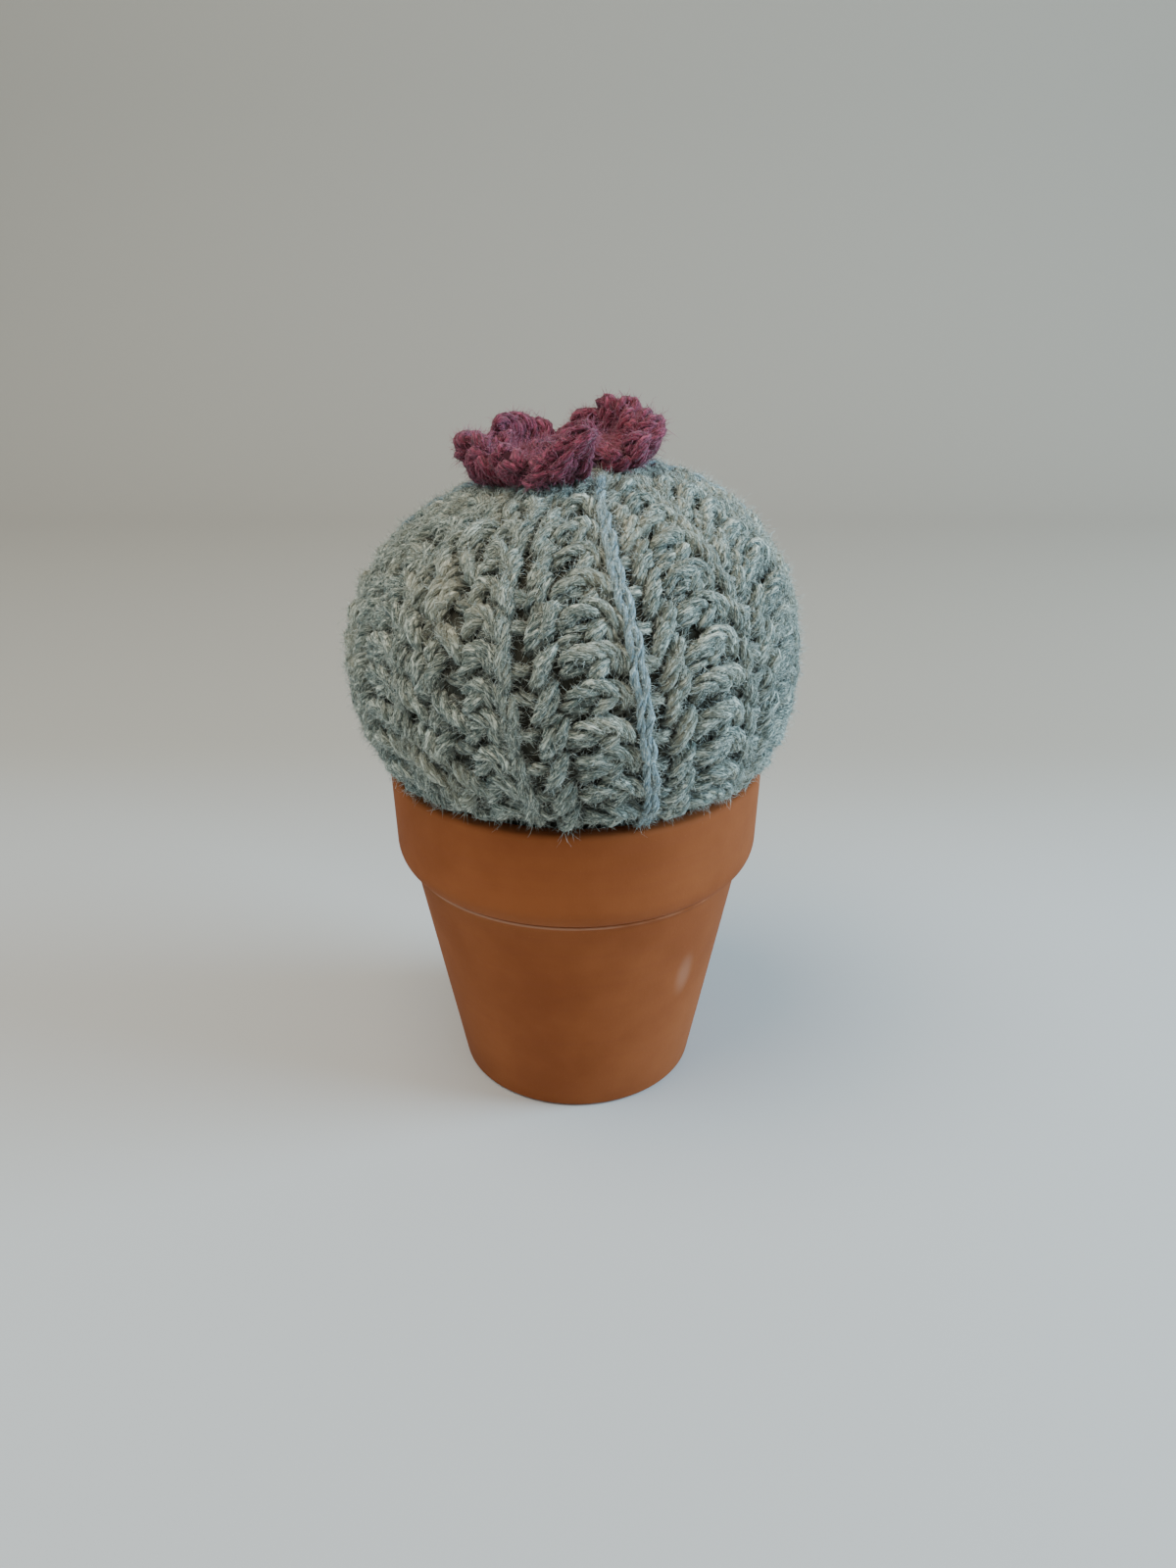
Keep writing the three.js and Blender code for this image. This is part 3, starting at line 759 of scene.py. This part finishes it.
for rib in TIGHT_RIDGES:
    down = np.arange(FIRST_STITCH, SEAT_STITCH + 0.5, 0.5)
    for side in (-1, 1):
        wave = np.sin(2 * math.pi * (down + 0.2 * side))
        drawing = np.stack([0.031 * side + 0.011 * wave, down, 0.1 + 0.35 * side * wave], axis=1)
        files["tight_ridges"].append(lay(drawing, rib, 0, 0.85, 1.1))
yarn_pieces = []
for name, strands in files.items():
    piece = make_yarn(name, strands)
    attach(piece, "body_yarn", lit_ridge_yarn if name == "tight_ridges" else cactus_yarn)
    yarn_pieces.append(piece)

# %% [markdown]
# ## Flower
# Five petals are worked outwards from a ring: posts side by side, then a braided edge. A
# petal is first a surface: flat on the crown near its root, bent up into a wall, and bent
# outwards again at its rim. A core, painted dark as the shade inside the petal, fills it, and
# its strands are laid on both faces of it. The numbers that shape each petal are the
# imported model's own.

# %% Petal surface
FLOWER_SHIFT_X = -2.2
PETAL_THICKNESS = 3.4
PETAL_ROOT = 3.5
PETAL_ROOT_HALF_WIDTH = 1.8
PETAL_RIM = 3
PETALS = [
    {"turn": -15, "fan": 33, "reach": 13, "height": -0.5, "lift": 12, "tilt": 3, "steep": 62, "rim": 42,
     "side": 0.68},
    {"turn": 84, "fan": 31, "reach": 13.5, "height": 3.2, "lift": 0.5, "tilt": 2, "steep": 85, "rim": 50,
     "side": 0.5},
    {"turn": 145, "fan": 46, "reach": 14, "height": 5.2, "lift": -2, "tilt": -1, "steep": 88, "rim": 80,
     "side": 0.5},
    {"turn": 219, "fan": 38, "reach": 13, "height": 4.5, "lift": -2, "tilt": 1.5, "steep": 88, "rim": 55,
     "side": 0.5},
    {"turn": 276, "fan": 34, "reach": 15, "height": 4.4, "lift": -0.5, "tilt": 0, "steep": 94, "rim": 10,
     "side": 0.5},
]


def crown_height(x, y):
    rise = crown_rise(np.hypot(x, y))
    return BALL_CENTRE_Z + rise + LEAN * rise * x / BALL_RADIUS


def petal_middle(petal, across, along):
    steps = 12
    fan = np.radians(petal["fan"] * across)
    reach = petal["reach"] * np.cos(fan)
    top = reach + petal["height"] + petal["lift"] * across ** 2 + petal["tilt"] * across
    length = (top + PETAL_RIM) * along
    out = np.zeros_like(length)
    up = np.zeros_like(length)
    for i in range(steps):
        at = (i + 0.5) / steps * length
        climb = petal["steep"] * smooth(reach - 5, reach + 2, at)
        climb -= (petal["steep"] - petal["rim"]) * smooth(top - 3, top + 2, at)
        out += length / steps * np.cos(np.radians(climb))
        up += length / steps * np.sin(np.radians(climb))
    turn = math.radians(petal["turn"])
    side = PETAL_ROOT_HALF_WIDTH * across
    x = FLOWER_SHIFT_X + PETAL_ROOT * math.sin(turn) + side * math.cos(turn) + out * np.sin(turn + fan)
    y = -PETAL_ROOT * math.cos(turn) + side * math.sin(turn) - out * np.cos(turn + fan)
    base = crown_height(x - BALL_SHIFT_X, y) + SEAT_GAP + PETAL_THICKNESS / 2
    return np.stack([x, y, base + up], axis=-1)


def on_petal(petal, across, along, lift):
    """A point over the petal's middle surface. The lift is positive inside the cup."""
    middle = petal_middle(petal, across, along)
    face = unit(np.cross(petal_middle(petal, across, along + 0.02) - middle,
                         petal_middle(petal, across + 0.02, along) - middle))
    return middle + face * np.asarray(lift)[..., None]


# %% The petals' cores, painted dark as shade
CORE_THICKNESS = 2.4
ROWS = 12
CORE_HALF_WIDTH = 0.94
RIM_MIDDLE = 0.94


def lobe(petal, across):
    """How far along a petal the middle of its rounded rim lies."""
    round_part = np.sqrt(np.clip(1 - np.square(across), 0, 1))
    return RIM_MIDDLE * (petal["side"] + (1 - petal["side"]) * round_part)


core_points = []
core_faces = []
for petal in PETALS:
    across, along = np.meshgrid(np.linspace(-CORE_HALF_WIDTH, CORE_HALF_WIDTH, ROWS),
                                np.linspace(0, 1, ROWS))
    along = along * lobe(petal, across)
    first = len(core_points) * ROWS * ROWS
    core_points.append(petal_middle(petal, across.ravel(), along.ravel()))
    for i in range(ROWS - 1):
        for j in range(ROWS - 1):
            a = first + i * ROWS + j
            core_faces.append((a, a + 1, a + ROWS + 1, a + ROWS))
core = mesh_piece("flower_core", np.vstack(core_points), core_faces)
solid = core.modifiers.new("thickness", "SOLIDIFY")
solid.thickness = CORE_THICKNESS * MM
solid.offset = 0
bpy.ops.object.modifier_apply(modifier=solid.name)
bpy.ops.object.shade_smooth()
print("flower core:", len(core.data.polygons), "faces")
# The core is coloured near-black plum: painted shade between the petal's strands.
plum = Finish("painted_shade_plum", 1.0)
felt = plum.noise(plum.coordinates(), 900.0, 3.0, 0.7)
plum.set("Base Color", plum.blend(felt, rgb(40, 12, 22), rgb(78, 30, 44)))
attach(core, "flower_yarn", plum.material)

# %% Lay the petals' posts on both faces
POST_SPACING = 2.4
POST_RADIUS = 1.35
POST_HALF_WIDTH = 0.9
POST_ROWS = [(0.1, 0.66, 1), (0.55, 1.0, 1), (0.35, 0.72, -1), (0.6, 1.0, -1)]
POST_SHARES = np.array([0, 0.12, 0.4, 0.7, 0.9, 1.0])
POST_LIFTS = np.array([0.2, 0.9, 1.3, 1.25, 0.9, 0.2])
flower_strands = []


def add_flower_strand(points, radius, depth=1.0):
    line = through(points)
    flower_strands.append((np.c_[line, np.full(len(line), -depth)], radius * rng.normal(1, 0.06)))


for petal in PETALS:
    width = 2 * math.radians(petal["fan"]) * petal["reach"]
    posts = int(round(width / POST_SPACING)) + 1
    for k in range(posts):
        across = -POST_HALF_WIDTH + 2 * POST_HALF_WIDTH * k / (posts - 1)
        for low, high, side in POST_ROWS:
            along = (low + (high - low) * POST_SHARES) * lobe(petal, across)
            place = across + 0.1 * (along - low) * side + rng.normal(0, 0.025) + rng.normal(0, 0.012, 6)
            lift = side * (POST_LIFTS + rng.normal(0, 0.12, 6))
            points = on_petal(petal, np.clip(place, -0.98, 0.98), along, lift)
            add_flower_strand(points, POST_RADIUS, 1.6)


# %% Braid the petals' edges
RIM_TURN = 118
RIM_HALF_WIDTH = 0.97


def petal_rim(petal, t):
    """t from -1 to 1 goes round the petal from one side of its root to the other."""
    angle = np.radians(RIM_TURN * np.asarray(t, float))
    along = RIM_MIDDLE * (petal["side"] + (1 - petal["side"]) * np.cos(angle))
    return RIM_HALF_WIDTH * np.sin(angle), along


def by_rim(petal, t, out, lift):
    across, along = petal_rim(petal, t)
    here = petal_middle(petal, across, along)
    outward = unit(here - petal_middle(petal, 0.9 * across, along - 0.1 * (along - 0.5)))
    ahead = unit(petal_middle(petal, *petal_rim(petal, t + 0.01)) - here)
    face = unit(np.cross(outward, ahead))
    return here + outward * out[:, None] + face * lift[:, None]


LINK_LENGTH = 5.6
LEAF_RADIUS = 1.6
LEAF_AHEAD = np.array([0.0, 0.3, 0.75, 1.15])
LEAF_OUT = np.array([-2.8, -0.9, 0.4, 0.3])
LEAF_LIFT = np.array([0.5, 1.4, 1.0, -0.3])
for petal in PETALS:
    t = np.linspace(-1, 1, 120)
    path = petal_middle(petal, *petal_rim(petal, t))
    length = np.r_[0, np.cumsum(np.linalg.norm(np.diff(path, axis=0), axis=1))]
    links = int(round(length[-1] / LINK_LENGTH))
    for k in range(links):
        at = (k + LEAF_AHEAD) / links * length[-1]
        for side in (1, -1):
            shift = rng.normal(0, 0.25, 3)
            points = by_rim(petal, np.interp(at + shift[0], length, t), LEAF_OUT + shift[1],
                            side * (LEAF_LIFT + shift[2]))
            add_flower_strand(points, LEAF_RADIUS)

# %% Work the centre ring, and make the flower's yarn
RING_STRAND_RADIUS = 1.25
RING_LIFT = np.array([-0.8, 0.2, 0.6, 0.8, 0.6, 0.2, -0.8])
for ring_radius, ring_height, links in ((7.5, 2.6, 8), (5.0, 4.0, 6)):
    for k in range(links):
        angles = 2 * math.pi * (k + np.linspace(-0.15, 1.15, len(RING_LIFT))) / links
        x = FLOWER_SHIFT_X + (ring_radius + 0.3 * RING_LIFT) * np.sin(angles)
        y = -(ring_radius + 0.3 * RING_LIFT) * np.cos(angles)
        z = crown_height(x, y) + ring_height + RING_LIFT
        add_flower_strand(np.stack([x, y, z], axis=1), RING_STRAND_RADIUS, 2.0)
petals = make_yarn("flower_petals", flower_strands, rough=0.03)
attach(petals, "flower_yarn", flower_yarn, "flower")

# %% [markdown]
# ## Loose fibres
# Yarn looks soft because fibres stand off it. A down of short straight ones lies nearly
# along each strand, and longer bent ones stand out from it. Each is a spike with three
# sides, rooted on a random point of a strand that isn't buried.

# %% Find roots on the strands
DEEPEST_GROOVE = 0.4


def fibre_roots(sources, count, deepest):
    """Random surface points in mm, with the way out of the strand and the way along it."""
    columns = []
    for source in sources:
        mesh = source.data
        size = len(mesh.vertices)
        spot, outward, along = (np.empty(size * 3) for _ in range(3))
        depth, groove = np.empty(size), np.empty(size)
        mesh.vertices.foreach_get("co", spot)
        mesh.vertices.foreach_get("normal", outward)
        mesh.attributes["along"].data.foreach_get("vector", along)
        mesh.attributes["depth"].data.foreach_get("value", depth)
        mesh.attributes["groove"].data.foreach_get("value", groove)
        table = np.hstack([spot.reshape(-1, 3) / MM, outward.reshape(-1, 3), along.reshape(-1, 3)])
        columns.append(table[(depth < deepest) & (groove < DEEPEST_GROOVE)])
    table = np.vstack(columns)
    picked = table[rng.integers(0, len(table), count)]
    base, outward, along = picked[:, :3], picked[:, 3:6], picked[:, 6:]
    return base + along * rng.uniform(-0.4, 0.4, (count, 1)), outward, along


# %% Grow fibres
ROOT_DEPTH = 0.15
SHORTEST_SHARE = 0.3


def grow_fibres(name, roots, longest, thick, stray, rise, bent):
    base, outward, along = roots
    count = len(base)
    drift = along * rng.choice([-1, 1], (count, 1)) + rng.normal(0, stray, (count, 3))
    direction = unit(drift + outward * rng.uniform(*rise, (count, 1)))
    length = longest * (SHORTEST_SHARE + (1 - SHORTEST_SHARE) * rng.random((count, 1)) ** 2)
    width = rng.uniform(*thick, (count, 1))
    side = unit(np.cross(direction, outward))
    up = np.cross(side, direction)
    centres = [base - ROOT_DEPTH * outward]
    tip = base + length * direction
    if bent:
        centres.append(base + 0.5 * length * direction)
        tip = centres[1] + 0.5 * length * unit(direction + rng.normal(0, 0.5, (count, 3)))
    corners = []
    for ring, centre in enumerate(centres):
        for angle in (0, 2 * math.pi / 3, 4 * math.pi / 3):
            reach = width * (1 - 0.25 * ring)
            corners.append(centre + reach * (math.cos(angle) * side + math.sin(angle) * up))
    points = np.stack(corners + [tip], axis=1).reshape(-1, 3)
    last = 3 * len(centres)
    faces = [(0, 1, 2)]
    for a, b in ((0, 1), (1, 2), (2, 0)):
        if bent:
            faces += [(b, a, a + 3), (b, a + 3, b + 3)]
        faces.append((last - 3 + b, last - 3 + a, last))
    faces = (np.array(faces)[None] + (last + 1) * np.arange(count)[:, None, None]).reshape(-1, 3)
    piece = mesh_piece(name, points, faces)
    bpy.ops.object.shade_smooth()
    print(f"{name}: {count} fibres, {len(faces)} faces")
    return piece


def fuzz_finish(name, first, second):
    finish = Finish(name, 0.9, Sheen_Weight=0.2)
    mixed = finish.noise(finish.coordinates(), 1200.0).between(0.35, 0.65)
    finish.set("Base Color", finish.blend(mixed, first, second))
    return finish.material


cactus_fuzz = fuzz_finish("cactus_fibre", rgb(126, 136, 128), rgb(226, 233, 222))
flower_fuzz = fuzz_finish("flower_fibre", rgb(126, 54, 74), rgb(188, 106, 132))
DOWN = {"longest": 2.6, "thick": (0.035, 0.065), "stray": 0.6, "rise": (0.2, 1.8), "bent": False}
HALO = {"longest": 4.0, "thick": (0.03, 0.045), "stray": 0.8, "rise": (0.5, 2.4), "bent": True}
for name, sources, count, deepest, looks, slot, material in [
        ("cactus_down", yarn_pieces, 49000, 0.35, DOWN, "body_yarn", cactus_fuzz),
        ("cactus_down_outer", yarn_pieces, 49000, 0.35, DOWN, "body_yarn", cactus_fuzz),
        ("cactus_down_deep", yarn_pieces, 40000, 0.9, DOWN, "body_yarn", cactus_fuzz),
        ("cactus_halo", yarn_pieces, 19500, 0.35, HALO, "body_yarn", cactus_fuzz),
        ("cactus_halo_outer", yarn_pieces, 12000, 0.35, HALO, "body_yarn", cactus_fuzz),
        ("flower_down", [petals], 12000, 0.9, DOWN, "flower_yarn", flower_fuzz),
        ("flower_halo", [petals], 11000, 0.9, HALO, "flower_yarn", flower_fuzz)]:
    attach(grow_fibres(name, fibre_roots(sources, count, deepest), **looks), slot, material)

# %% [markdown]
# ## Stuffing
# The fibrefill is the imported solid. It is hidden inside the cover, so it keeps its shape and
# only gets a soft white finish.

# %% Fibrefill finish
fill = Finish("white_fibrefill", 1.0)
tufts = fill.noise(fill.coordinates(), 260.0, 5.0, 0.7)
fill.set("Base Color", fill.blend(tufts, rgb(214, 212, 206), rgb(246, 245, 241)))
fill.bump(tufts, 0.7, 0.001)
stuffing = frame["nodes"]["stuffing"]
stuffing.data.materials.clear()
stuffing.data.materials.append(fill.material)

# %% [markdown]
# ## Stage, light and camera
# The floor is plain and pale. It sweeps up into a plain wall, far enough behind the object that
# a camera can go round the object. The paper is a little darker at the back, so the pale ball
# stands out. Broad lights from above and from both sides keep the shadows soft. The camera
# stands where the photograph was taken.

# %% Floor and wall in one sweep
FLOOR_SIZE = 4.0
FLOOR_EDGE = 0.6
SWEEP_RADIUS = 0.3
WALL_HEIGHT = 2.0
bpy.ops.object.select_all(action="DESELECT")
bpy.ops.mesh.primitive_plane_add(size=FLOOR_SIZE, location=(0, FLOOR_EDGE - FLOOR_SIZE / 2, 0))
floor = bpy.context.object
floor.name = "studio_floor"
bpy.ops.object.mode_set(mode="EDIT")
bpy.ops.mesh.select_all(action="DESELECT")
bpy.ops.object.mode_set(mode="OBJECT")
for edge in floor.data.edges:
    edge.select = all(floor.data.vertices[v].co.y > 0 for v in edge.vertices)
for vertex in floor.data.vertices:
    vertex.select = vertex.co.y > 0
bpy.ops.object.mode_set(mode="EDIT")
bpy.ops.mesh.spin(steps=24, angle=math.pi / 2, center=(0, FLOOR_EDGE, SWEEP_RADIUS), axis=(-1, 0, 0))
bpy.ops.mesh.extrude_region_move(TRANSFORM_OT_translate={"value": (0, 0, WALL_HEIGHT)})
bpy.ops.mesh.select_all(action="SELECT")
bpy.ops.mesh.normals_make_consistent(inside=True)
bpy.ops.object.mode_set(mode="OBJECT")
bpy.ops.object.transform_apply(location=True, rotation=True, scale=True)
bpy.ops.object.shade_smooth_by_angle(angle=math.radians(40))
print("floor faces up:", all(p.normal.z > -0.01 for p in floor.data.polygons))
paper = Finish("studio_paper", 0.9)
behind = paper.node("ShaderNodeSeparateXYZ", {}, paper.coordinates(), output=1)
paper.set("Base Color", paper.blend(behind.between(0.04, 0.2), rgb(202, 202, 200), rgb(178, 170, 158)))
floor.data.materials.append(paper.material)


# %% Lights
def area_light(name, place, target, size, power, colour):
    lamp = bpy.data.lights.new(name, "AREA")
    lamp.shape = "DISK"
    lamp.size = size
    lamp.energy = power
    lamp.color = colour
    holder = bpy.data.objects.new(name, lamp)
    bpy.context.scene.collection.objects.link(holder)
    holder.location = place
    aim = np.subtract(target, place)
    holder.rotation_euler = (math.atan2(math.hypot(aim[0], aim[1]), -aim[2]), 0,
                             math.atan2(aim[0], -aim[1]) + math.pi)


middle_point = (0, 0, 0.09)
area_light("overhead_left", (-0.3, -0.2, 1.0), middle_point, 0.7, 7.4, (1.0, 0.9, 0.76))
area_light("window_right", (0.95, -0.1, 0.5), middle_point, 0.6, 18.4, (0.52, 0.78, 1.0))
area_light("sky_left", (-0.9, -0.15, 0.35), middle_point, 0.6, 2.2, (0.36, 0.76, 1.0))
world = bpy.data.worlds.new("soft_room")
world.use_nodes = True
background = world.node_tree.nodes["Background"]
background.inputs["Color"].default_value = (0.94, 0.91, 0.84, 1)
background.inputs["Strength"].default_value = 0.43
bpy.context.scene.world = world

# %% Camera at the photograph's viewing angle
FOCAL_PIXELS = 1202
FRAME_PIXELS = 1600
PITCH_DOWN = 24.4
CAMERA_PLACE = (2.6, -239.5, 176.5)
camera = bpy.data.cameras.new("camera")
camera.sensor_width = 36
camera.lens = 36 * FOCAL_PIXELS / FRAME_PIXELS
camera.clip_start = 0.01
camera_object = bpy.data.objects.new("camera", camera)
bpy.context.scene.collection.objects.link(camera_object)
camera_object.location = [side * MM for side in CAMERA_PLACE]
camera_object.rotation_euler = (math.radians(90 - PITCH_DOWN), 0, 0)
bpy.context.scene.camera = camera_object
print(f"lens: {camera.lens:.1f} mm on a {camera.sensor_width:.0f} mm frame")
